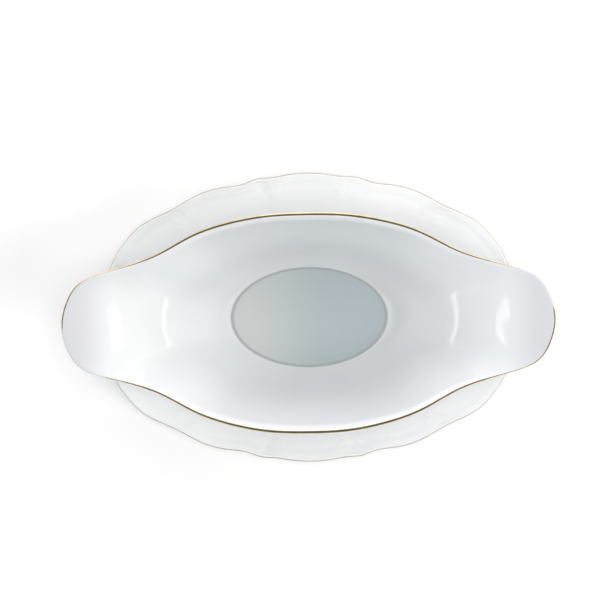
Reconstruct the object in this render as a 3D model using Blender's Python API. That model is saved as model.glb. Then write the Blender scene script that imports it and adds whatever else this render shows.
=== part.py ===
"""A double-lipped porcelain sauce boat standing loose on its oval underplate, both with a gilt line on the rim.

Metres, +Z up. The origin is on the table under the middle of the plate, and the lips point along +X and -X.
Run it with: blender --background --python part.py
"""

import math

import bmesh
import bpy
import numpy as np

MM = 0.001
STATIONS = 80  # points round each ring
BOAT_CROWDING = 0.5  # how far the boat's stations crowd towards the tips of its lips
PLATE_CROWDING = 0.3

# Heights, in millimetres above the table
PLATE_UNDERSIDE = 3.0
PLATE_WELL = 6.0
PLATE_RIM = 21.0
RESTING_GAP = 0.3
BOAT_FOOT = PLATE_WELL + RESTING_GAP
BOAT_UNDERSIDE = 9.8
BOAT_FLOOR = 13.0

# Boat: the flat floor and foot ring are ellipses, as semi-axes in x and y
FLOOR = (41.0, 25.8)
FOOT_MIDDLE = (41.8, 26.6)
FOOT_HALF_WIDTH = 2.0
WALL = 2.6  # thickness of the wall above the foot
RIM_WALL = (1.7, 2.3)  # thickness at the rim, at a lip's tip and at the middle of a side
BAND_LIP = (3.0, 0.5)
BAND_SIDE = (2.2, 4.6)  # the everted band along the rim at the middle of a side

# Boat rim from the tip of a lip to the middle of a side, as x, y and height
BOAT_RIM = (
    (122.9, 0.0, 71.6),
    (120.6, 11.5, 70.8),
    (114.8, 20.7, 69.2),
    (106.2, 25.2, 67.4),
    (92.0, 29.5, 65.7),
    (75.0, 35.3, 66.5),
    (58.0, 44.0, 69.6),
    (37.0, 50.5, 75.4),
    (18.0, 53.3, 79.1),
    (0.0, 53.8, 80.0),
)

# Wall of the boat from the floor to the band, as fractions of the way out and of the way up
SIDE_WALL = ((0.0, 0.0), (0.10, 0.045), (0.30, 0.20), (0.55, 0.46), (0.80, 0.745), (1.0, 1.0))
END_WALL = ((0.0, 0.0), (0.10, 0.09), (0.255, 0.295), (0.43, 0.535), (0.615, 0.75), (0.80, 0.91), (1.0, 1.0))
END_WALL_SHARE = 8.0  # how sharply the end's wall gives way to the side's

# Plate: the well is an ellipse, and the outline has twelve shallow lobes
WELL = (56.0, 36.0)
PLATE_FOOT_MIDDLE = (62.0, 41.0)
PLATE_FOOT_HALF_WIDTH = 1.6
PLATE_WALL = 3.0
PLATE_RIM_WALL = 2.0
PLATE_EDGE = (
    (116.2, 0.0),
    (115.2, 9.0),
    (111.2, 19.2),
    (106.8, 27.6),
    (103.0, 35.4),
    (97.0, 43.6),
    (90.0, 50.4),
    (82.0, 54.9),
    (73.0, 59.0),
    (66.0, 62.9),
    (56.0, 67.8),
    (44.0, 70.6),
    (34.0, 72.2),
    (27.0, 74.7),
    (20.0, 75.3),
    (10.0, 76.8),
    (0.0, 77.5),
)
PLATE_BORDER = ((0.0, 0.0), (0.08, 0.015), (0.22, 0.16), (0.45, 0.43), (0.75, 0.68), (0.92, 0.86), (1.0, 1.0))

# The gilt line is a bead on the crest of each rim, with a small gap under it
GILT_HEIGHT = 0.7
GILT_SIDES = 6
CREST_DROP = GILT_HEIGHT + RESTING_GAP

# How finely each stretch of a section is cut
WALL_ROWS = 10
BORDER_ROWS = 8
CREST_ROWS = 4
FOOT_CLEARANCE_ROWS = 2  # rows of the outer face that the foot ring takes the place of

PORCELAIN_COLOUR = (0.86, 0.87, 0.88, 1.0)
GILT_COLOUR = (0.62, 0.42, 0.12, 1.0)


def clear_scene():
    for obj in list(bpy.data.objects):
        bpy.data.objects.remove(obj, do_unlink=True)


def make_material(name, colour, roughness, metallic):
    material = bpy.data.materials.new(name)
    material.use_nodes = True
    shader = material.node_tree.nodes["Principled BSDF"]
    shader.inputs["Base Color"].default_value = colour
    shader.inputs["Roughness"].default_value = roughness
    shader.inputs["Metallic"].default_value = metallic
    return material


def second_derivatives(gaps, values):
    """Of the smooth cubic that closes on itself through the values; its last value repeats the first."""
    count = len(gaps)
    matrix = np.zeros((count, count))
    right = np.zeros((count, values.shape[1]))
    for i in range(count):
        before, after = gaps[i - 1], gaps[i]
        matrix[i, i - 1] += before
        matrix[i, i] += 2.0 * (before + after)
        matrix[i, (i + 1) % count] += after
        rise = (values[i + 1] - values[i]) / after
        fall = (values[i] - values[(i - 1) % count]) / before
        right[i] = 6.0 * (rise - fall)
    bends = np.linalg.solve(matrix, right)
    return np.vstack([bends, bends[:1]])


def closed_curve(points, per_span=24):
    """A smooth closed curve through the points, as many points on it."""
    values = np.array(list(points) + [points[0]], dtype=float)
    gaps = np.linalg.norm(np.diff(values[:, :2], axis=0), axis=1)
    bends = second_derivatives(gaps, values)
    curve = []
    for i, gap in enumerate(gaps):
        for step in range(per_span):
            b = step / per_span
            a = 1.0 - b
            straight = a * values[i] + b * values[i + 1]
            bow = ((a**3 - a) * bends[i] + (b**3 - b) * bends[i + 1]) * gap * gap / 6.0
            curve.append(straight + bow)
    return np.array(curve)


def mirrored_round(quarter):
    """The quarter's points, from the X axis to the Y axis, carried round all four quarters."""
    quarter = [tuple(point) for point in quarter]
    top = quarter + [(-p[0],) + p[1:] for p in quarter[-2::-1]]
    bottom = [(p[0], -p[1]) + p[2:] for p in top[-2:0:-1]]
    return top + bottom


def at_angles(curve, angles):
    """Distance from the Z axis, and any height, where the closed curve crosses each angle."""
    turn = np.unwrap(np.arctan2(curve[:, 1], curve[:, 0]))
    radius = np.hypot(curve[:, 0], curve[:, 1])
    columns = [radius] + [curve[:, k] for k in range(2, curve.shape[1])]
    return [np.interp(angles, turn, column, period=2.0 * math.pi) for column in columns]


def stations(crowding):
    """The angles of the stations, closer together towards the X axis."""
    even = np.arange(STATIONS) * 2.0 * math.pi / STATIONS
    return even - crowding / 2.0 * np.sin(2.0 * even)


def ellipse_radius(axes, angles):
    return axes[0] * axes[1] / np.hypot(axes[1] * np.cos(angles), axes[0] * np.sin(angles))


def grown(axes, by):
    return (axes[0] + by, axes[1] + by)


def open_curve(knots, fractions):
    """Points at the fractions of a smooth open curve through the knots, level at its start."""
    knots = np.array(knots, dtype=float)
    gaps = np.linalg.norm(np.diff(knots, axis=0), axis=1)
    places = np.concatenate([[0.0], np.cumsum(gaps)])
    count = len(knots)
    matrix = np.zeros((count, count))
    right = np.zeros((count, 2))
    matrix[0, :2] = (2.0 * gaps[0], gaps[0])
    level = np.array([1.0, 0.0])
    right[0] = 6.0 * ((knots[1] - knots[0]) / gaps[0] - level)
    matrix[-1, -1] = 1.0
    for i in range(1, count - 1):
        matrix[i, i - 1 : i + 2] = (gaps[i - 1], 2.0 * (gaps[i - 1] + gaps[i]), gaps[i])
        rise = (knots[i + 1] - knots[i]) / gaps[i]
        right[i] = 6.0 * (rise - (knots[i] - knots[i - 1]) / gaps[i - 1])
    bends = np.linalg.solve(matrix, right)
    wanted = np.asarray(fractions) * places[-1]
    span = np.clip(np.searchsorted(places, wanted, side="right") - 1, 0, count - 2)
    gap = gaps[span]
    b = (wanted - places[span]) / gap
    a = 1.0 - b
    straight = a[:, None] * knots[span] + b[:, None] * knots[span + 1]
    pull = (a**3 - a)[:, None] * bends[span] + (b**3 - b)[:, None] * bends[span + 1]
    return straight + pull * (gap * gap / 6.0)[:, None]


def end_share(angles):
    """1 at the tip of a lip, 0 at the middle of a side."""
    return np.abs(np.cos(angles))[:, None] ** END_WALL_SHARE


def boat_inside(angles):
    """Radius and height of the boat's inner face, from the floor's edge to the crest, for each angle."""
    rim_radius, rim_height = at_angles(closed_curve(mirrored_round(BOAT_RIM)), angles)
    sideways = np.abs(np.sin(angles)) ** 2
    band_out = BAND_LIP[0] + (BAND_SIDE[0] - BAND_LIP[0]) * sideways
    band_up = BAND_LIP[1] + (BAND_SIDE[1] - BAND_LIP[1]) * sideways
    neck_radius = rim_radius - band_out
    neck_height = rim_height - band_up
    fractions = np.linspace(0.0, 1.0, WALL_ROWS + 1)
    side = open_curve(SIDE_WALL, fractions)
    end = open_curve(END_WALL, fractions)
    share = end_share(angles)
    out = share * end[:, 0] + (1.0 - share) * side[:, 0]
    up = share * end[:, 1] + (1.0 - share) * side[:, 1]
    floor = ellipse_radius(FLOOR, angles)[:, None]
    radius = floor + (neck_radius[:, None] - floor) * out
    height = BOAT_FLOOR + (neck_height[:, None] - BOAT_FLOOR) * up
    return np.hstack([radius, rim_radius[:, None]]), np.hstack([height, rim_height[:, None]])


def plate_top(angles):
    """Radius and height of the plate's upper face, from the edge of the well to the crest, for each angle."""
    (rim_radius,) = at_angles(closed_curve(mirrored_round(PLATE_EDGE)), angles)
    border = open_curve(PLATE_BORDER, np.linspace(0.0, 1.0, BORDER_ROWS + 1))
    well = ellipse_radius(WELL, angles)[:, None]
    radius = well + (rim_radius[:, None] - well) * border[:, 0]
    height = PLATE_WELL + (PLATE_RIM - PLATE_WELL) * border[:, 1]
    return radius, np.broadcast_to(height, radius.shape)


def in_space(radius, height, angles):
    """Points of a ring grid: stations by rows by x, y, z."""
    return np.stack([radius * np.cos(angles)[:, None], radius * np.sin(angles)[:, None], height], axis=2)


def unit(vectors):
    return vectors / np.linalg.norm(vectors, axis=2, keepdims=True)


def frames(grid):
    """At each point of a grid, the direction along its row towards the rim, and the outward normal."""
    along = np.gradient(grid, axis=1)
    wrapped = np.concatenate([grid[-1:], grid, grid[:1]])
    around = (wrapped[2:] - wrapped[:-2]) / 2.0
    return unit(along), unit(np.cross(around, along))


def shell(radius, height, angles, thickness):
    """Inner face, rounded crest and outer face of a wall, and the crest's frame for its gilt line.

    The radius and height are those of the inner face at its foot, and of the middle of the wall at its crest.
    """
    inner = in_space(radius, height, angles)
    along, outward = frames(inner)
    crest_along, crest_outward = along[:, -1:], outward[:, -1:]
    half = thickness[:, -1:, None] / 2.0
    climb = np.linspace(0.0, 1.0, radius.shape[1])[None, :, None] ** 2
    inner -= outward * half * climb
    inner[:, -1:] -= crest_along * (CREST_DROP + half)
    outer = inner + outward * thickness[:, :, None]
    middle = inner[:, -1:] + crest_outward * half
    turns = np.linspace(0.0, math.pi, CREST_ROWS + 1)[1:-1]
    sweep = np.cos(turns)[None, :, None] * -crest_outward + np.sin(turns)[None, :, None] * crest_along
    crest = middle + sweep * half
    top = middle + crest_along * (half + CREST_DROP)
    return inner, crest, outer, (top, crest_along, crest_outward, half)


def gilt_bead(top, along, outward, half):
    """Rings of the bead on a crest: an oval section hung from the true top of the rim."""
    turns = np.arange(GILT_SIDES) * 2.0 * math.pi / GILT_SIDES
    middle = top - along * (GILT_HEIGHT / 2.0)
    across = np.cos(turns)[None, :, None] * outward * half
    upright = np.sin(turns)[None, :, None] * along * (GILT_HEIGHT / 2.0)
    return middle + across + upright


def flat_rings(angles, rings):
    """Elliptical rings, each a pair of semi-axes and a height."""
    radius = np.stack([ellipse_radius(axes, angles) for axes, _ in rings], axis=1)
    height = np.tile([level for _, level in rings], (len(angles), 1))
    return in_space(radius, height, angles)


def foot_rings(middle, half_width, bottom, underside, flare):
    """A foot ring from its outer root, under its rounded bottom, to its inner root."""
    edge = 0.6
    return [
        (grown(middle, half_width + 0.4), bottom + flare),
        (grown(middle, half_width), bottom + edge),
        (grown(middle, half_width - edge), bottom),
        (grown(middle, edge - half_width), bottom),
        (grown(middle, -half_width), bottom + edge),
        (grown(middle, -half_width - 0.4), underside - edge),
        (grown(middle, -half_width - 1.4), underside),
    ]


def ring_mesh(name, grid, capped):
    """A mesh of quads over a grid of stations by rows, capped with flat faces or closed round its rows."""
    mesh = bmesh.new()
    stations, rows = grid.shape[:2]
    verts = [[mesh.verts.new(point * MM) for point in column] for column in grid]
    for i in range(stations):
        here, following = verts[i], verts[(i + 1) % stations]
        for j in range(rows - 1 if capped else rows):
            k = (j + 1) % rows
            mesh.faces.new((here[j], following[j], following[k], here[k]))
    if capped:
        mesh.faces.new([column[0] for column in verts])
        mesh.faces.new([column[-1] for column in verts])
    bmesh.ops.recalc_face_normals(mesh, faces=mesh.faces)
    data = bpy.data.meshes.new(name)
    mesh.to_mesh(data)
    mesh.free()
    return data


def place(name, data, material, parent):
    data.materials.append(material)
    data.shade_smooth()
    data.set_sharp_from_angle(angle=math.radians(40.0))
    obj = bpy.data.objects.new(name, data)
    bpy.context.scene.collection.objects.link(obj)
    obj.parent = parent
    return obj


def make_boat(angles):
    """The boat's body and its gilt line, as two meshes."""
    radius, height = boat_inside(angles)
    sideways = np.abs(np.sin(angles))[:, None] ** 2
    rim_wall = RIM_WALL[0] + (RIM_WALL[1] - RIM_WALL[0]) * sideways
    climb = np.linspace(0.0, 1.0, radius.shape[1])[None, :] ** 2
    thickness = WALL + (rim_wall - WALL) * climb
    inner, crest, outer, crest_frame = shell(radius, height, angles, thickness)
    underside = outer[:, : FOOT_CLEARANCE_ROWS - 1 : -1]
    foot = flat_rings(angles, foot_rings(FOOT_MIDDLE, FOOT_HALF_WIDTH, BOAT_FOOT, BOAT_UNDERSIDE, 3.6))
    grid = np.concatenate([inner, crest, underside, foot], axis=1)
    return ring_mesh("sauce_boat", grid, True), ring_mesh("sauce_boat_gilt_rim", gilt_bead(*crest_frame), False)


def make_plate(angles):
    """The plate's body and its gilt line, as two meshes."""
    radius, height = plate_top(angles)
    climb = np.linspace(0.0, 1.0, radius.shape[1])[None, :]
    thickness = np.broadcast_to(PLATE_WALL + (PLATE_RIM_WALL - PLATE_WALL) * climb, radius.shape)
    inner, crest, outer, crest_frame = shell(radius, height, angles, thickness)
    underside = outer[:, : FOOT_CLEARANCE_ROWS - 1 : -1]
    foot = flat_rings(angles, foot_rings(PLATE_FOOT_MIDDLE, PLATE_FOOT_HALF_WIDTH, 0.0, PLATE_UNDERSIDE, 3.2))
    grid = np.concatenate([inner, crest, underside, foot], axis=1)
    return ring_mesh("underplate", grid, True), ring_mesh("underplate_gilt_rim", gilt_bead(*crest_frame), False)


def main():
    clear_scene()
    porcelain = make_material("porcelain", PORCELAIN_COLOUR, 0.12, 0.0)
    gilt = make_material("gilt", GILT_COLOUR, 0.25, 1.0)
    lift = bpy.data.objects.new("boat_lift_axis", None)
    bpy.context.scene.collection.objects.link(lift)
    boat, boat_gilt = make_boat(stations(BOAT_CROWDING))
    plate, plate_gilt = make_plate(stations(PLATE_CROWDING))
    place("sauce_boat", boat, porcelain, lift)
    place("sauce_boat_gilt_rim", boat_gilt, gilt, lift)
    place("underplate", plate, porcelain, None)
    place("underplate_gilt_rim", plate_gilt, gilt, None)


main()
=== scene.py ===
"""Looks of the double-lipped porcelain sauce boat and its oval underplate.

The two castings and their gilt lines are made again here as fine surfaces, by the rules that give the
solids their shape. Lengths are in millimetres until a mesh is made.
"""

import math

import bpy
import numpy as np
from mathutils import Matrix, Vector


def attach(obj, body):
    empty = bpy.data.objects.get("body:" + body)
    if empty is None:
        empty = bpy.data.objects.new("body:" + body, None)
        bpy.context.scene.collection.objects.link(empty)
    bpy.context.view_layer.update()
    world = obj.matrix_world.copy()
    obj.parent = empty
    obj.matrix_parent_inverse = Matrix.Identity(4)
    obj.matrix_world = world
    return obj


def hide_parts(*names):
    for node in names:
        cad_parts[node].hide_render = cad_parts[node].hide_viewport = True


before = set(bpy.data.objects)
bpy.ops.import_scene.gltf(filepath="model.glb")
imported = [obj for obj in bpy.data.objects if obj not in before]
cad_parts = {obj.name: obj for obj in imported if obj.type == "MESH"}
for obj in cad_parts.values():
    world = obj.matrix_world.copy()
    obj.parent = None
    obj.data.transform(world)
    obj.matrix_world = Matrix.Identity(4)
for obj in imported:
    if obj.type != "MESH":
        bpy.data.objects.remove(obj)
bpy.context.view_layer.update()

MM = 0.001

# ---------------------------------------------------------------- sizes, as the solids have them

PLATE_UNDERSIDE = 3.0
PLATE_WELL = 6.0
PLATE_RIM = 21.0
BOAT_FOOT = 6.3
BOAT_UNDERSIDE = 9.8
BOAT_FLOOR = 13.0
FLOOR_DISH = 0.4  # how much lower the middle of the boat's floor is than its edge
RECESS_DISH = 0.1
BOAT_FOOT_ROOT = 3.6  # height of the outer root of the foot ring above its bottom
PLATE_FOOT_ROOT = 3.2
ROOT_PULL = (0.9, 0.5)  # how strongly the two ends of the blend into a root hold their slopes

FLOOR = (41.0, 25.8)
FOOT_MIDDLE = (41.8, 26.6)
FOOT_HALF_WIDTH = 2.0
FOOT_EDGE = 0.7  # radius of the rounded edges of a foot ring's bottom
FOOT_FILLET = 1.4  # radius of the fillet at its inner root
FOOT_FLARE = 0.35  # how far its outer root stands out
FOOT_DRAFT = 0.2  # how far its inner face leans
WALL = 2.6
CREST_ROOM = 3.0  # stretch below a crest that makes room for its round, in half thicknesses
RIM_WALL = (1.7, 2.3)  # pairs like this one are for a lip's tip and for a side's middle
BAND_OUT = (3.0, 2.2)  # width and rise of the everted band along the rim
BAND_UP = (0.5, 4.6)
BEND_START = 0.975  # fraction of the wall where the bend into the band begins
BEND_END = 0.35  # fraction of the band where it ends
BOAT_RIM = (
    (122.9, 0.0, 71.6),
    (120.6, 11.5, 70.8),
    (114.8, 20.7, 69.2),
    (106.2, 25.2, 67.4),
    (92.0, 29.5, 65.7),
    (75.0, 35.3, 66.5),
    (58.0, 44.0, 69.6),
    (37.0, 50.5, 75.4),
    (18.0, 53.3, 79.1),
    (0.0, 53.8, 80.0),
)
SIDE_WALL = ((0.0, 0.0), (0.10, 0.045), (0.30, 0.20), (0.55, 0.46), (0.80, 0.745), (1.0, 1.0))
END_WALL = (
    (0.0, 0.0),
    (0.10, 0.09),
    (0.255, 0.295),
    (0.43, 0.535),
    (0.615, 0.75),
    (0.80, 0.91),
    (1.0, 1.0),
)
END_WALL_SHARE = 8.0

WELL = (56.0, 36.0)
PLATE_FOOT_MIDDLE = (62.0, 41.0)
PLATE_FOOT_HALF_WIDTH = 1.6
PLATE_WALL = 3.0
PLATE_RIM_WALL = 2.0
PLATE_EDGE = (
    (116.2, 0.0),
    (115.2, 9.0),
    (111.2, 19.2),
    (106.8, 27.6),
    (103.0, 35.4),
    (97.0, 43.6),
    (90.0, 50.4),
    (82.0, 54.9),
    (73.0, 59.0),
    (66.0, 62.9),
    (56.0, 67.8),
    (44.0, 70.6),
    (34.0, 72.2),
    (27.0, 74.7),
    (20.0, 75.3),
    (10.0, 76.8),
    (0.0, 77.5),
)
PLATE_BORDER = (
    (0.0, 0.0),
    (0.08, 0.015),
    (0.22, 0.16),
    (0.45, 0.43),
    (0.75, 0.68),
    (0.92, 0.86),
    (1.0, 1.0),
)

# ---------------------------------------------------------------- fineness of the surfaces

BOAT_STATIONS = 400
PLATE_STATIONS = 560
BOAT_CROWDING = 0.5
PLATE_CROWDING = 0.3
WALL_ROWS = 72
BORDER_ROWS = 72
CORNER_ROWS = 8  # round the bend at the foot of the everted band
BAND_ROWS = 8
CREST_ROWS = 12
FLOOR_RINGS = 14
FILLET_ROWS = 6
ROOT_ROWS = 11  # from the outer face down into the root of a foot ring
BOAT_CLEAR_ROWS = 15  # rows of the outer face that the root takes the place of
PLATE_CLEAR_ROWS = 18
CURVE_STEPS = 40
RIM_MASK = "rim_mask"  # name of the value stored at each point of the boat

# ---------------------------------------------------------------- gilding and relief

GILT_SKIN = 0.05  # how far the gold stands proud of the glaze
GILT_ROOT = 0.12  # how far its hidden side lies in the glaze
GILT_START = (6.0, 42.0)  # degrees round the crest from its inner side
GILT_OUTSIDE = (0.4, 0.9)  # width down the outer face
WORN_START = 78.0  # where the gold begins on the stretches whose top is worn bare
WORN_STRETCHES = ((187.5, 7.5), (8.0, 6.0))  # their middles and half widths, in degrees round the boat
WORN_FADE = 0.3  # share of a half width over which the wear fades out
PLATE_GILT_START = 66.0
PLATE_GILT_OUTSIDE = 0.3

TROUGHS = ((24.5, 75.0), (73.0, 59.0), (106.8, 27.6))  # where two lobes of the plate's edge meet
CREASE_DEPTH = 0.8
CREASE_WIDTH = 2.4
CREASE_REACH = 15.0
CREASE_FADE = 1.3
LOBE_SWELL = 0.45
LOBE_FLAT = 9.0  # distance from a trough where the swell is nearly full
SHELL_RIBS = 5
SHELL_FAN = 100.0  # degrees
SHELL_RADIUS = (2.5, 10.5)
SHELL_INSET = 13.5  # from the edge to the root of the shell
SHELL_HEIGHT = 0.5
SHELL_RIB_WIDTH = 0.85
SHELL_FILL = 0.8  # share of its length that the ribs fill
RELIEF_START = 2.0  # from the edge to where the relief has its full height
EDGE_GROOVE = 4.6  # from the edge to the groove inside the thickened edge
EDGE_GROOVE_DEPTH = 0.22
EDGE_GROOVE_WIDTH = 1.5

# ---------------------------------------------------------------- colours and light

BOAT_COLOUR = (0.738, 0.761, 0.772)
# Painted shade: the lips grow greyer towards their flat tips, which face away from the low side lights.
LIP_PAINTED_SHADE_COLOUR = (0.605, 0.618, 0.645)
LIP_SHADE = (96.0, 117.0)  # distance from the middle where that painted shade begins and where it is full
# Painted shade: the floor lets less light through than the walls, so it is darker than them, and it is
# darker towards the right, where the right wall shades it.
FLOOR_PAINTED_SHADE_LEFT = (0.545, 0.573, 0.568)
FLOOR_PAINTED_SHADE_RIGHT = (0.413, 0.482, 0.502)
# Painted shade: a dark line where the thicker foot ring, seen through the floor, lets less light
# through.
RING_PAINTED_SHADE_COLOUR = (0.39, 0.42, 0.42)
# Places on the floor, as shares of the way from its middle to the middle line of the foot ring.
FLOOR_BLEND = (-0.9, 0.3)  # where the left shade ends and where the right one is full
FLOOR_EDGE = (1.02, 0.985)  # where the floor's painted shade begins and where it is full
RING_LINE = (0.034, 0.008)  # how far off the middle line the painted shade line begins, and where it is full
PLATE_COLOUR = (0.80, 0.81, 0.815)
RIM_PAINTED_LIGHT_COLOUR = (0.86, 0.86, 0.865)  # painted light: the thin everted band along the boat's sides is whiter where light comes through it
GOLD_COLOUR = (0.86, 0.73, 0.48)
WORN_GOLD_COLOUR = (0.60, 0.54, 0.42)
GLAZE_ROUGHNESS = 0.03
GLAZE_ROUGHNESS_SPREAD = 0.03
GLAZE_IOR = 1.5
GLAZE_CLOUDS = 28.0  # scale of the faint unevenness of its colour
GLAZE_SHADES = (0.985, 1.01)  # darkest and lightest of it
GLAZE_STREAKS = 90.0  # scale of the unevenness of its gloss
GOLD_CLOUDS = 160.0
GOLD_DARKEST = 0.85
GOLD_ROUGHNESS = 0.08
GOLD_ROUGHNESS_SPREAD = 0.14
NOISE_DETAIL = 3.0
TABLE_COLOUR = (0.96, 0.96, 0.96)
TABLE_ROUGHNESS = 0.7
TABLE_HALF = 3.0  # half its width, in metres

SKY = 0.14
BAND_FULL = 0.75  # sines of the elevation where the bright band round the horizon starts to fade
BAND_TOP = 0.95  # and where it has faded out
GLOWS = (  # azimuth, sharpness and strength of the bright stretches of that band
    (92.0, 5.0, 2.4),
    (40.0, 12.0, 1.2),
    (-155.0, 16.0, 1.2),
)
STRIP = (0.112, 0.175)  # lowest and highest sine of elevation of the strip over each lip
STRIP_EDGE = 0.004
STRIP_SHARPNESS = 4.0  # to the sides
STRIP_STRENGTH = 4.0
LIGHT_AIM = 0.04  # height of the point that the lights face, in metres
LIGHT_DISTANCE = 1.2
LIGHTS = (  # name, azimuth, elevation, size, strength, colour, whether reflections show it
    ("top", 90.0, 88.0, (0.8, 0.6), 5.0, (1.00, 1.00, 0.98), False),
    ("low_right", 0.0, 12.0, (0.6, 0.3), 7.4, (1.00, 0.88, 0.84), False),
    ("low_left", 180.0, 12.0, (0.6, 0.3), 6.0, (0.91, 0.91, 1.00), False),
    ("high_right", -30.0, 50.0, (0.5, 0.4), 6.5, (1.00, 0.95, 0.95), False),
    ("high_back_right", 55.0, 50.0, (0.5, 0.4), 3.2, (1.00, 0.92, 0.92), False),
    ("low_front", -90.0, 25.0, (0.6, 0.3), 2.6, (0.81, 0.97, 1.00), False),
    ("softbox_right", -3.0, 39.0, (0.045, 0.29), 2.4, (1.0, 1.0, 1.0), True),
    ("softbox_left", 183.0, 38.0, (0.035, 0.32), 3.2, (1.0, 1.0, 1.0), True),
)

# ---------------------------------------------------------------- camera

CAMERA_PLACE = (10.4, 31.7, 699.7)
CAMERA_TILT_X = -1.885  # degrees from straight down
CAMERA_TILT_Y = 1.239
CAMERA_ROLL = -0.90
CAMERA_LENS = 75.96
CAMERA_SENSOR = 36.0
CAMERA_NEAREST = 0.05  # nearest thing it shows, in metres


# ---------------------------------------------------------------- curves


def second_derivatives(gaps, values):
    """Of the smooth cubic that closes on itself through the values; its last value repeats the first."""
    count = len(gaps)
    matrix = np.zeros((count, count))
    right = np.zeros((count, values.shape[1]))
    for i in range(count):
        before, after = gaps[i - 1], gaps[i]
        matrix[i, i - 1] += before
        matrix[i, i] += 2.0 * (before + after)
        matrix[i, (i + 1) % count] += after
        rise = (values[i + 1] - values[i]) / after
        fall = (values[i] - values[(i - 1) % count]) / before
        right[i] = 6.0 * (rise - fall)
    bends = np.linalg.solve(matrix, right)
    return np.vstack([bends, bends[:1]])


def closed_curve(points):
    """A smooth closed curve through the points, as many points on it."""
    values = np.array(list(points) + [points[0]], dtype=float)
    gaps = np.linalg.norm(np.diff(values[:, :2], axis=0), axis=1)
    bends = second_derivatives(gaps, values)
    b = (np.arange(CURVE_STEPS) / CURVE_STEPS)[:, None]
    a = 1.0 - b
    spans = []
    for i, gap in enumerate(gaps):
        bow = ((a**3 - a) * bends[i] + (b**3 - b) * bends[i + 1]) * gap * gap / 6.0
        spans.append(a * values[i] + b * values[i + 1] + bow)
    return np.vstack(spans)


def mirrored_round(quarter):
    """The quarter's points, from the X axis to the Y axis, carried round all four quarters."""
    quarter = [tuple(point) for point in quarter]
    top = quarter + [(-p[0],) + p[1:] for p in quarter[-2::-1]]
    bottom = [(p[0], -p[1]) + p[2:] for p in top[-2:0:-1]]
    return top + bottom


def at_angles(curve, angles):
    """Distance from the Z axis, and any height, where the closed curve crosses each angle."""
    turn = np.unwrap(np.arctan2(curve[:, 1], curve[:, 0]))
    radius = np.hypot(curve[:, 0], curve[:, 1])
    columns = [radius] + [curve[:, k] for k in range(2, curve.shape[1])]
    return [np.interp(angles, turn, column, period=2.0 * math.pi) for column in columns]


def stations(count, crowding):
    """The angles of the stations, closer together towards the X axis."""
    even = np.arange(count) * 2.0 * math.pi / count
    return even - crowding / 2.0 * np.sin(2.0 * even)


def ellipse_radius(axes, angles):
    return axes[0] * axes[1] / np.hypot(axes[1] * np.cos(angles), axes[0] * np.sin(angles))


def grown(axes, by):
    return (axes[0] + by, axes[1] + by)


def open_curve(knots, fractions):
    """Points at the fractions of a smooth open curve through the knots, level at its start."""
    knots = np.array(knots, dtype=float)
    gaps = np.linalg.norm(np.diff(knots, axis=0), axis=1)
    places = np.concatenate([[0.0], np.cumsum(gaps)])
    count = len(knots)
    matrix = np.zeros((count, count))
    right = np.zeros((count, 2))
    matrix[0, :2] = (2.0 * gaps[0], gaps[0])
    level = np.array([1.0, 0.0])
    right[0] = 6.0 * ((knots[1] - knots[0]) / gaps[0] - level)
    matrix[-1, -1] = 1.0
    for i in range(1, count - 1):
        matrix[i, i - 1 : i + 2] = (gaps[i - 1], 2.0 * (gaps[i - 1] + gaps[i]), gaps[i])
        rise = (knots[i + 1] - knots[i]) / gaps[i]
        right[i] = 6.0 * (rise - (knots[i] - knots[i - 1]) / gaps[i - 1])
    bends = np.linalg.solve(matrix, right)
    wanted = np.asarray(fractions) * places[-1]
    span = np.clip(np.searchsorted(places, wanted, side="right") - 1, 0, count - 2)
    gap = gaps[span]
    b = (wanted - places[span]) / gap
    a = 1.0 - b
    straight = a[:, None] * knots[span] + b[:, None] * knots[span + 1]
    pull = (a**3 - a)[:, None] * bends[span] + (b**3 - b)[:, None] * bends[span + 1]
    return straight + pull * (gap * gap / 6.0)[:, None]


def sideways_share(angles):
    """0 at the tip of a lip, 1 at the middle of a side."""
    return np.abs(np.sin(angles)) ** 2


def mixed(pair, sideways):
    """From the value at a lip's tip to the value at the middle of a side."""
    return pair[0] + (pair[1] - pair[0]) * sideways


# ---------------------------------------------------------------- the two upper faces


def boat_inside(angles):
    """Radius and height of the boat's inner face, from the floor's edge to the crest, for each angle."""
    rim_radius, rim_height = at_angles(closed_curve(mirrored_round(BOAT_RIM)), angles)
    sideways = sideways_share(angles)
    neck_radius = rim_radius - mixed(BAND_OUT, sideways)
    neck_height = rim_height - mixed(BAND_UP, sideways)
    fractions = np.linspace(0.0, BEND_START, WALL_ROWS + 1)
    side = open_curve(SIDE_WALL, fractions)
    end = open_curve(END_WALL, fractions)
    share = np.abs(np.cos(angles))[:, None] ** END_WALL_SHARE
    out = share * end[:, 0] + (1.0 - share) * side[:, 0]
    up = share * end[:, 1] + (1.0 - share) * side[:, 1]
    floor = ellipse_radius(FLOOR, angles)[:, None]
    radius = floor + (neck_radius[:, None] - floor) * out
    height = BOAT_FLOOR + (neck_height[:, None] - BOAT_FLOOR) * up
    top = np.stack([radius[:, -1], height[:, -1]], axis=1)[:, None]
    neck = np.stack([neck_radius, neck_height], axis=1)[:, None]
    rim = np.stack([rim_radius, rim_height], axis=1)[:, None]
    band = everted_band(top, neck, rim)
    return np.hstack([radius, band[:, :, 0]]), np.hstack([height, band[:, :, 1]])


def everted_band(top, neck, rim):
    """Rows from the top of the wall, round the bend at the neck and up to the rim."""
    after = neck + (rim - neck) * BEND_END
    t = np.linspace(0.0, 1.0, CORNER_ROWS + 1)[None, 1:, None]
    bend = (1.0 - t) ** 2 * top + 2.0 * t * (1.0 - t) * neck + t**2 * after
    t = np.linspace(0.0, 1.0, BAND_ROWS + 1)[None, 1:, None]
    return np.concatenate([bend, after + (rim - after) * t], axis=1)


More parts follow.
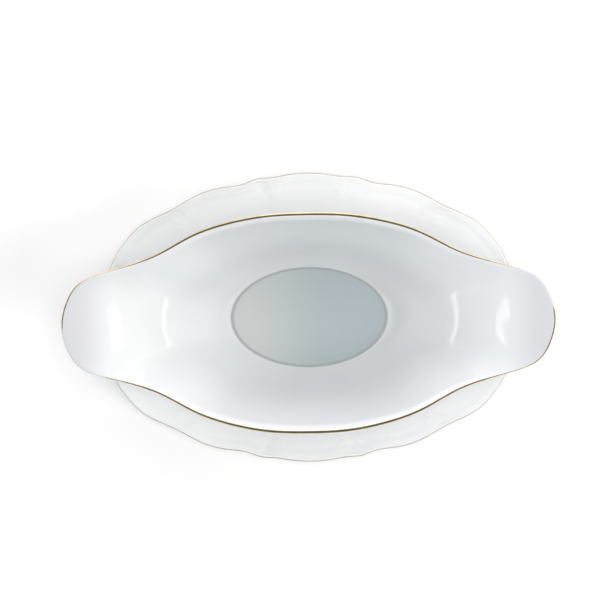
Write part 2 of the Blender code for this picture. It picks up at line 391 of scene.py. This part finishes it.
def plate_top(angles):
    """Radius and height of the plate's upper face, from the well's edge to the crest, for each angle."""
    (rim_radius,) = at_angles(closed_curve(mirrored_round(PLATE_EDGE)), angles)
    border = open_curve(PLATE_BORDER, np.linspace(0.0, 1.0, BORDER_ROWS + 1))
    well = ellipse_radius(WELL, angles)[:, None]
    radius = well + (rim_radius[:, None] - well) * border[:, 0]
    height = np.broadcast_to(PLATE_WELL + (PLATE_RIM - PLATE_WELL) * border[:, 1], radius.shape)
    return radius, height


# ---------------------------------------------------------------- walls with a rounded crest


def in_space(radius, height, angles):
    """Points of a ring grid: stations by rows by x, y, z."""
    return np.stack([radius * np.cos(angles)[:, None], radius * np.sin(angles)[:, None], height], axis=2)


def unit(vectors):
    return vectors / np.linalg.norm(vectors, axis=2, keepdims=True)


def frames(grid):
    """At each point of a grid, the direction along its row towards the rim, and the outward normal."""
    along = np.gradient(grid, axis=1)
    wrapped = np.concatenate([grid[-1:], grid, grid[:1]])
    around = (wrapped[2:] - wrapped[:-2]) / 2.0
    return unit(along), unit(np.cross(around, along))


def crest_arc(middle, along, outward, half, turns):
    """Rings round a crest: turns run from 0 at the inner face to pi at the outer face."""
    sweep = np.cos(turns)[None, :, None] * -outward + np.sin(turns)[None, :, None] * along
    return middle + sweep * half


def shell(radius, height, angles, thickness):
    """Inner face, crest and outer face of a wall, with the frame of its crest.

    The radius and height are those of the inner face at its foot, and of the middle of the wall at its
    crest.
    """
    inner = in_space(radius, height, angles)
    along, outward = frames(inner)
    half = thickness[:, -1:, None] / 2.0
    steps = np.linalg.norm(np.diff(inner, axis=1), axis=2)
    places = np.concatenate([np.zeros((len(angles), 1)), np.cumsum(steps, axis=1)], axis=1)
    climb = (places / places[:, -1:])[:, :, None] ** 2
    inner = inner - outward * half * climb
    room = CREST_ROOM * half
    left = (places[:, -1:] - places)[:, :, None]
    inner = inner - along * half * np.clip(1.0 - left / room, 0.0, 1.0) ** 2
    outer = inner + outward * thickness[:, :, None]
    middle = inner[:, -1:] + outward[:, -1:] * half
    turns = np.linspace(0.0, math.pi, CREST_ROWS + 1)[1:-1]
    crest = crest_arc(middle, along[:, -1:], outward[:, -1:], half, turns)
    return inner, crest, outer, (middle, along[:, -1:], outward[:, -1:], half)


def gilt_section(crest_frame, start, outside):
    """Rings of the gold film over a crest: its outer side out and round, then its hidden side back."""
    middle, along, outward, half = crest_frame
    first = np.radians(start)[:, None]
    turns = first + (math.pi - first) * np.linspace(0.0, 1.0, CREST_ROWS + 1)[None, :]
    sweep = np.cos(turns)[:, :, None] * -outward + np.sin(turns)[:, :, None] * along

    def side(skin):
        arc = middle + sweep * (half + skin)
        outer_run = arc[:, -1:] - along * outside[:, None, None]
        return np.concatenate([arc, outer_run], axis=1)

    return np.concatenate([side(GILT_SKIN), side(-GILT_ROOT)[:, ::-1]], axis=1)


def worn_back(start, angles):
    """The start of the gold at each angle, moved outwards along the worn stretches."""
    for middle, half_width in WORN_STRETCHES:
        off = np.abs((np.degrees(angles) - middle + 180.0) % 360.0 - 180.0) / half_width
        share = np.clip((1.0 - off) / WORN_FADE, 0.0, 1.0)
        start = start + (WORN_START - start) * share * share * (3.0 - 2.0 * share)
    return start


# ---------------------------------------------------------------- floors, feet and fillets


def disc_rings(axes, angles, edge_height, middle_height):
    """Rings of a slightly dished oval disc from near its middle outwards, crowded towards its edge."""
    parts = np.sin(np.linspace(0.0, math.pi / 2.0, FLOOR_RINGS + 1))[1:-1]
    radius = ellipse_radius(axes, angles)[:, None] * parts
    height = np.broadcast_to(middle_height + (edge_height - middle_height) * parts**2, radius.shape)
    return in_space(radius, height, angles)


def oval_rings(angles, rings):
    """Elliptical rings, each a pair of semi-axes and a height."""
    radius = np.stack([ellipse_radius(axes, angles) for axes, _ in rings], axis=1)
    height = np.tile([level for _, level in rings], (len(angles), 1))
    return in_space(radius, height, angles)


def quarter_round(middle, from_offset, to_offset, from_level, to_level, level_first):
    """Rings of a rounded corner, which starts level or else starts upright."""
    rings = []
    for turn in np.linspace(0.0, math.pi / 2.0, FILLET_ROWS + 1):
        across = math.sin(turn) if level_first else 1.0 - math.cos(turn)
        upright = 1.0 - math.cos(turn) if level_first else math.sin(turn)
        offset = from_offset + (to_offset - from_offset) * across
        level = from_level + (to_level - from_level) * upright
        rings.append((grown(middle, offset), level))
    return rings


def foot_rings(middle, half_width, bottom, root, underside):
    """A foot ring from its outer root, under its rounded bottom, to the recess inside it."""
    edge_top = bottom + FOOT_EDGE
    outer_edge, inner_edge = half_width - FOOT_EDGE, FOOT_EDGE - half_width
    inner_root, recess = -half_width - FOOT_DRAFT, -half_width - FOOT_FILLET
    rings = [(grown(middle, half_width + FOOT_FLARE), root)]
    rings += quarter_round(middle, half_width, outer_edge, edge_top, bottom, False)
    rings += quarter_round(middle, inner_edge, -half_width, bottom, edge_top, True)
    rings += quarter_round(middle, inner_root, recess, underside - FOOT_FILLET, underside, False)
    return rings


def direction(start, end):
    """Unit vectors from one ring to another."""
    return (end - start) / np.linalg.norm(end - start, axis=1, keepdims=True)


def blend_in(outer, foot, clear_rows):
    """Rows that carry the outer face down into the root of the foot ring without a corner."""
    start = outer[:, clear_rows]
    end = foot[:, 0]
    reach = np.linalg.norm(end - start, axis=1, keepdims=True)
    slope = direction(outer[:, clear_rows + 1], start) * reach
    fall = direction(end, foot[:, 1]) * reach
    rows = []
    for t in np.linspace(0.0, 1.0, ROOT_ROWS + 2)[1:-1]:
        a = 2.0 * t**3 - 3.0 * t**2 + 1.0
        b = t**3 - 2.0 * t**2 + t
        c = 3.0 * t**2 - 2.0 * t**3
        d = t**3 - t**2
        rows.append(a * start + b * slope * ROOT_PULL[0] + c * end + d * fall * ROOT_PULL[1])
    return np.stack(rows, axis=1)


# ---------------------------------------------------------------- relief on the plate's border


def plate_relief(points, from_edge):
    """Height of the moulded relief at each point of the plate's upper face."""
    x, y = np.abs(points[:, :, 0]), np.abs(points[:, :, 1])
    near_edge = np.clip(1.0 - from_edge / CREASE_REACH, 0.0, 1.0) ** CREASE_FADE
    relief = -EDGE_GROOVE_DEPTH * np.exp(-(((from_edge - EDGE_GROOVE) / EDGE_GROOVE_WIDTH) ** 2))
    nearest = np.full(x.shape, np.inf)
    for trough in TROUGHS:
        reach = math.hypot(*trough)
        ux, uy = trough[0] / reach, trough[1] / reach
        aside = x * uy - y * ux
        nearest = np.minimum(nearest, np.abs(aside))
        relief += shell_ribs(x, y, trough, (ux, uy))
    relief -= CREASE_DEPTH * near_edge * np.exp(-((nearest / CREASE_WIDTH) ** 2))
    relief += LOBE_SWELL * near_edge * (1.0 - np.exp(-((nearest / LOBE_FLAT) ** 2)))
    return relief


def shell_ribs(x, y, trough, outwards):
    """A fan of short ribs that opens towards the edge on both sides of a trough."""
    root = (trough[0] - outwards[0] * SHELL_INSET, trough[1] - outwards[1] * SHELL_INSET)
    from_x, from_y = x - root[0], y - root[1]
    away = np.hypot(from_x, from_y)
    sideways = from_x * outwards[1] - from_y * outwards[0]
    forwards = from_x * outwards[0] + from_y * outwards[1]
    turn = np.degrees(np.arctan2(sideways, forwards))
    middle = sum(SHELL_RADIUS) / 2.0
    spread = (SHELL_RADIUS[1] - SHELL_RADIUS[0]) / 2.0
    along = np.exp(-(((away - middle) / (spread * SHELL_FILL)) ** 4))
    ribs = np.zeros_like(x)
    for i in range(SHELL_RIBS):
        rib_turn = SHELL_FAN * (i / (SHELL_RIBS - 1) - 0.5)
        aside = np.radians(turn - rib_turn) * away
        width = SHELL_RIB_WIDTH * (0.5 + away / SHELL_RADIUS[1])
        ribs += np.exp(-((aside / width) ** 2))
    return SHELL_HEIGHT * ribs * along


# ---------------------------------------------------------------- meshes


def ring_object(name, grid, poles):
    """A closed smooth mesh over a grid of stations by rows.

    With poles, a point closes each end of the rows; without, the rows close on themselves.
    """
    count, rows = grid.shape[:2]
    verts = grid.reshape(-1, 3)
    station = np.arange(count)
    following = (station + 1) % count
    row = np.arange(rows - 1 if poles else rows)
    after = (row + 1) % rows
    quads = np.stack([
        station[:, None] * rows + row,
        following[:, None] * rows + row,
        following[:, None] * rows + after,
        station[:, None] * rows + after,
    ], axis=2).reshape(-1, 4)
    faces = quads.tolist()
    if poles:
        low, high = len(verts), len(verts) + 1
        verts = np.vstack([verts, grid[:, 0].mean(axis=0), grid[:, -1].mean(axis=0)])
        verts[low:, :2] = 0.0
        for here, there in zip(station.tolist(), following.tolist()):
            faces.append((low, there * rows, here * rows))
            faces.append((high, (here + 1) * rows - 1, (there + 1) * rows - 1))
    data = bpy.data.meshes.new(name)
    data.from_pydata((verts * MM).tolist(), [], faces)
    data.validate()
    data.shade_smooth()
    face_outwards(data)
    obj = bpy.data.objects.new(name, data)
    bpy.context.scene.collection.objects.link(obj)
    return obj


def face_outwards(data):
    """Turns every face round if the mesh holds a negative volume."""
    data.calc_loop_triangles()
    corners = np.array([[data.vertices[i].co for i in tri.vertices] for tri in data.loop_triangles])
    if np.linalg.det(corners).sum() < 0.0:
        data.flip_normals()


def store_mask(obj, name, values):
    """A value from 0 to 1 at each point, for the materials."""
    attribute = obj.data.attributes.new(name, "FLOAT", "POINT")
    attribute.data.foreach_set("value", np.asarray(values, dtype=np.float32))


def rim_mask(inner_rows, all_rows, sideways):
    """Where the rim's painted light goes: 1 on the everted band and the crest, faded out below the band
    and towards the lips.
    """
    row = np.arange(all_rows)
    below = np.clip((inner_rows - row) / (BAND_ROWS + CORNER_ROWS), 0.0, 1.0)
    fade = np.where(row > inner_rows + CREST_ROWS, 0.0, 1.0 - below**3)
    poles = [0.0, 0.0]
    return np.concatenate([(sideways[:, None] ** 0.5 * fade).ravel(), poles])


def make_boat():
    angles = stations(BOAT_STATIONS, BOAT_CROWDING)
    radius, height = boat_inside(angles)
    sideways = sideways_share(angles)
    rim_wall = mixed(RIM_WALL, sideways)[:, None]
    climb = np.linspace(0.0, 1.0, radius.shape[1])[None, :] ** 2
    thickness = WALL + (rim_wall - WALL) * climb
    inner, crest, outer, crest_frame = shell(radius, height, angles, thickness)
    floor = disc_rings(FLOOR, angles, BOAT_FLOOR, BOAT_FLOOR - FLOOR_DISH)
    foot_root = BOAT_FOOT + BOAT_FOOT_ROOT
    rings = foot_rings(FOOT_MIDDLE, FOOT_HALF_WIDTH, BOAT_FOOT, foot_root, BOAT_UNDERSIDE)
    foot = oval_rings(angles, rings)
    root = blend_in(outer, foot, BOAT_CLEAR_ROWS)
    inside_foot = grown(FOOT_MIDDLE, -FOOT_HALF_WIDTH - FOOT_FILLET)
    recess = disc_rings(inside_foot, angles, BOAT_UNDERSIDE, BOAT_UNDERSIDE + RECESS_DISH)[:, ::-1]
    underside = outer[:, BOAT_CLEAR_ROWS:][:, ::-1]
    grid = np.concatenate([floor, inner, crest, underside, root, foot, recess], axis=1)
    boat = ring_object("sauce_boat_porcelain", grid, True)
    store_mask(boat, RIM_MASK, rim_mask(floor.shape[1] + inner.shape[1], grid.shape[1], sideways))
    start = worn_back(mixed(GILT_START, sideways), angles)
    film = gilt_section(crest_frame, start, mixed(GILT_OUTSIDE, sideways))
    return boat, ring_object("sauce_boat_gilding", film, False)


def make_plate():
    angles = stations(PLATE_STATIONS, PLATE_CROWDING)
    radius, height = plate_top(angles)
    climb = np.linspace(0.0, 1.0, radius.shape[1])[None, :]
    thickness = np.broadcast_to(PLATE_WALL + (PLATE_RIM_WALL - PLATE_WALL) * climb, radius.shape)
    inner, crest, outer, crest_frame = shell(radius, height, angles, thickness)
    edge = np.linalg.norm(inner[:, -1:, :2] - inner[:, :, :2], axis=2)
    inner[:, :, 2] += plate_relief(inner, edge) * np.clip(edge / RELIEF_START, 0.0, 1.0)
    well = disc_rings(WELL, angles, PLATE_WELL, PLATE_WELL)
    rings = foot_rings(PLATE_FOOT_MIDDLE, PLATE_FOOT_HALF_WIDTH, 0.0, PLATE_FOOT_ROOT, PLATE_UNDERSIDE)
    foot = oval_rings(angles, rings)
    root = blend_in(outer, foot, PLATE_CLEAR_ROWS)
    inside_foot = grown(PLATE_FOOT_MIDDLE, -PLATE_FOOT_HALF_WIDTH - FOOT_FILLET)
    recess = disc_rings(inside_foot, angles, PLATE_UNDERSIDE, PLATE_UNDERSIDE)[:, ::-1]
    underside = outer[:, PLATE_CLEAR_ROWS:][:, ::-1]
    grid = np.concatenate([well, inner, crest, underside, root, foot, recess], axis=1)
    plate = ring_object("underplate_porcelain", grid, True)
    start = np.full(len(angles), PLATE_GILT_START)
    outside = np.full(len(angles), PLATE_GILT_OUTSIDE)
    film = gilt_section(crest_frame, start, outside)
    return plate, ring_object("underplate_gilding", film, False)


# ---------------------------------------------------------------- materials


class Nodes:
    """Short names for the making of a node tree."""

    def __init__(self, tree):
        self.tree = tree

    def add(self, kind, **settings):
        node = self.tree.nodes.new(kind)
        for name, value in settings.items():
            setattr(node, name, value)
        return node

    def put(self, socket, value):
        if isinstance(value, bpy.types.NodeSocket):
            self.tree.links.new(value, socket)
        else:
            socket.default_value = value

    def math(self, operation, *values):
        node = self.add("ShaderNodeMath", operation=operation)
        for socket, value in zip(node.inputs, values):
            self.put(socket, value)
        return node.outputs[0]

    def steps(self, value, low, high):
        """A smooth step, 0 below the low value and 1 above the high one; it may also run downwards."""
        node = self.add("ShaderNodeMapRange", interpolation_type="SMOOTHSTEP")
        self.put(node.inputs["Value"], value)
        self.put(node.inputs["From Min"], low)
        self.put(node.inputs["From Max"], high)
        return node.outputs["Result"]

    def mix(self, share, first, second):
        node = self.add("ShaderNodeMix", data_type="RGBA")
        self.put(node.inputs["Factor"], share)
        self.put(node.inputs["A"], first)
        self.put(node.inputs["B"], second)
        return node.outputs["Result"]

    def place(self):
        """The x, y and z of the point shaded, in the piece's own frame and in metres."""
        where = self.add("ShaderNodeTexCoord")
        split = self.add("ShaderNodeSeparateXYZ")
        self.put(split.inputs[0], where.outputs["Object"])
        return split.outputs

    def noise(self, scale):
        where = self.add("ShaderNodeTexCoord")
        node = self.add("ShaderNodeTexNoise")
        self.put(node.inputs["Vector"], where.outputs["Object"])
        self.put(node.inputs["Scale"], scale)
        self.put(node.inputs["Detail"], NOISE_DETAIL)
        return node.outputs["Fac"]


def new_material(name):
    """A material with its node helper and its shader."""
    material = bpy.data.materials.new(name)
    material.use_nodes = True
    return material, Nodes(material.node_tree), material.node_tree.nodes["Principled BSDF"]


def rgba(colour, factor=1.0):
    return tuple(part * factor for part in colour) + (1.0,)


def glaze(name, colour, extra=None):
    """Glossy white glaze with a faint unevenness; extra adds a piece's painted light and shade to the
    colour.
    """
    material, nodes, shader = new_material(name)
    darkest, lightest = [rgba(colour, factor) for factor in GLAZE_SHADES]
    shade = nodes.mix(nodes.steps(nodes.noise(GLAZE_CLOUDS), 0.3, 0.7), darkest, lightest)
    if extra:
        shade = extra(nodes, shade)
    nodes.put(shader.inputs["Base Color"], shade)
    streaks = nodes.noise(GLAZE_STREAKS)
    roughness = nodes.math("MULTIPLY_ADD", streaks, GLAZE_ROUGHNESS_SPREAD, GLAZE_ROUGHNESS)
    nodes.put(shader.inputs["Roughness"], roughness)
    shader.inputs["IOR"].default_value = GLAZE_IOR
    return material


def boat_painted_light_and_shade(nodes, shade):
    """Painted light and shade: the rim is whiter, the lips greyer, the floor darker and darker towards
    the right, and a dark line follows the foot ring.
    """
    x, y, _ = nodes.place()
    # painted light on the rim
    rim = nodes.add("ShaderNodeAttribute", attribute_name=RIM_MASK)
    shade = nodes.mix(rim.outputs["Fac"], shade, rgba(RIM_PAINTED_LIGHT_COLOUR))
    # painted shade on the lips
    thin = nodes.steps(nodes.math("ABSOLUTE", x), LIP_SHADE[0] * MM, LIP_SHADE[1] * MM)
    shade = nodes.mix(thin, shade, rgba(LIP_PAINTED_SHADE_COLOUR))
    # painted shade on the floor, darker towards the right
    across = nodes.math("DIVIDE", x, FOOT_MIDDLE[0] * MM)
    deep = nodes.math("DIVIDE", y, FOOT_MIDDLE[1] * MM)
    across_squared = nodes.math("MULTIPLY", across, across)
    deep_squared = nodes.math("MULTIPLY", deep, deep)
    ring = nodes.math("SQRT", nodes.math("ADD", across_squared, deep_squared))
    inside = nodes.steps(ring, *FLOOR_EDGE)
    rightwards = nodes.steps(across, *FLOOR_BLEND)
    floor = nodes.mix(rightwards, rgba(FLOOR_PAINTED_SHADE_LEFT), rgba(FLOOR_PAINTED_SHADE_RIGHT))
    shade = nodes.mix(inside, shade, floor)
    # painted shade line along the foot ring
    off_line = nodes.math("ABSOLUTE", nodes.math("SUBTRACT", ring, 1.0))
    line = nodes.steps(off_line, *RING_LINE)
    return nodes.mix(line, shade, rgba(RING_PAINTED_SHADE_COLOUR))


def gilt_material(name, colour):
    """Burnished gold, a little uneven."""
    material, nodes, shader = new_material(name)
    cloud = nodes.noise(GOLD_CLOUDS)
    shade = nodes.mix(nodes.steps(cloud, 0.35, 0.65), rgba(colour, GOLD_DARKEST), rgba(colour))
    nodes.put(shader.inputs["Base Color"], shade)
    roughness = nodes.math("MULTIPLY_ADD", cloud, GOLD_ROUGHNESS_SPREAD, GOLD_ROUGHNESS)
    nodes.put(shader.inputs["Roughness"], roughness)
    shader.inputs["Metallic"].default_value = 1.0
    return material


# ---------------------------------------------------------------- stage


def make_floor():
    data = bpy.data.meshes.new("table")
    corners = [(x * TABLE_HALF, y * TABLE_HALF, 0.0) for x, y in ((-1, -1), (1, -1), (1, 1), (-1, 1))]
    data.from_pydata(corners, [], [(0, 1, 2, 3)])
    floor = bpy.data.objects.new("table", data)
    bpy.context.scene.collection.objects.link(floor)
    material = bpy.data.materials.new("table_white")
    material.use_nodes = True
    shader = material.node_tree.nodes["Principled BSDF"]
    shader.inputs["Base Color"].default_value = rgba(TABLE_COLOUR)
    shader.inputs["Roughness"].default_value = TABLE_ROUGHNESS
    floor.data.materials.append(material)


def make_camera():
    data = bpy.data.cameras.new("camera")
    data.lens = CAMERA_LENS
    data.sensor_width = CAMERA_SENSOR
    data.clip_start = CAMERA_NEAREST
    camera = bpy.data.objects.new("camera", data)
    bpy.context.scene.collection.objects.link(camera)
    turn = (
        Matrix.Rotation(math.radians(CAMERA_ROLL), 4, "Z")
        @ Matrix.Rotation(math.radians(CAMERA_TILT_X), 4, "X")
        @ Matrix.Rotation(math.radians(CAMERA_TILT_Y), 4, "Y")
    )
    camera.matrix_world = Matrix.Translation(Vector(CAMERA_PLACE) * MM) @ turn
    bpy.context.scene.camera = camera


def area_light(name, azimuth, elevation, size, radiance, colour, glossy):
    """A rectangular light, sized in metres, that faces the boat's middle from a direction in degrees."""
    turn, rise = math.radians(azimuth), math.radians(elevation)
    towards = Vector((math.cos(turn) * math.cos(rise), math.sin(turn) * math.cos(rise), math.sin(rise)))
    data = bpy.data.lights.new(name, "AREA")
    data.shape = "RECTANGLE"
    data.size, data.size_y = size
    data.energy = radiance * math.pi * size[0] * size[1]
    data.color = colour
    light = bpy.data.objects.new(name, data)
    bpy.context.scene.collection.objects.link(light)
    light.location = Vector((0.0, 0.0, LIGHT_AIM)) + towards * LIGHT_DISTANCE
    light.rotation_euler = towards.to_track_quat("Z", "Y").to_euler()
    light.visible_glossy = glossy


def make_world():
    """A dim sky with bright stretches round the horizon and a thin bright strip over each lip."""
    world = bpy.data.worlds.new("studio")
    world.use_nodes = True
    nodes = Nodes(world.node_tree)
    where = nodes.add("ShaderNodeTexCoord")
    split = nodes.add("ShaderNodeSeparateXYZ")
    nodes.put(split.inputs[0], where.outputs["Generated"])
    x, y, z = split.outputs
    glow = 0.0
    for azimuth, sharpness, strength in GLOWS:
        turn = math.radians(azimuth)
        across = nodes.math("MULTIPLY", x, math.cos(turn))
        towards = nodes.math("MAXIMUM", nodes.math("MULTIPLY_ADD", y, math.sin(turn), across), 0.0)
        glow = nodes.math("MULTIPLY_ADD", nodes.math("POWER", towards, sharpness), strength, glow)
    band = nodes.steps(z, BAND_TOP, BAND_FULL)
    total = nodes.math("MULTIPLY_ADD", band, glow, SKY)
    sideways = nodes.math("ABSOLUTE", x)
    above = nodes.steps(z, STRIP[0] - STRIP_EDGE, STRIP[0] + STRIP_EDGE)
    below = nodes.steps(z, STRIP[1] + STRIP_EDGE, STRIP[1] - STRIP_EDGE)
    strip = nodes.math("MULTIPLY", nodes.math("MULTIPLY", above, below), STRIP_STRENGTH)
    total = nodes.math("MULTIPLY_ADD", nodes.math("POWER", sideways, STRIP_SHARPNESS), strip, total)
    background = world.node_tree.nodes["Background"]
    nodes.put(background.inputs["Strength"], total)
    background.inputs["Color"].default_value = (1.0, 1.0, 1.0, 1.0)
    bpy.context.scene.world = world


def main():
    bpy.context.scene.view_settings.view_transform = "Standard"
    make_camera()
    boat, boat_gilt = make_boat()
    plate, plate_gilt = make_plate()
    boat_glaze = glaze("boat_glaze", BOAT_COLOUR, boat_painted_light_and_shade)
    plate_glaze = glaze("plate_glaze", PLATE_COLOUR)
    gold = gilt_material("gilding", GOLD_COLOUR)
    worn_gold = gilt_material("worn_gilding", WORN_GOLD_COLOUR)
    for piece, body, node, slot, material in (
        (boat, "boat", "sauce_boat", "porcelain", boat_glaze),
        (boat_gilt, "boat", "sauce_boat_gilt_rim", "gilt", gold),
        (plate, "plate", "underplate", "porcelain", plate_glaze),
        (plate_gilt, "plate", "underplate_gilt_rim", "gilt", worn_gold),
    ):
        piece.data.materials.append(material)
        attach(piece, body)
        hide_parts(node)
    make_floor()
    make_world()
    for light in LIGHTS:
        area_light(*light)


main()
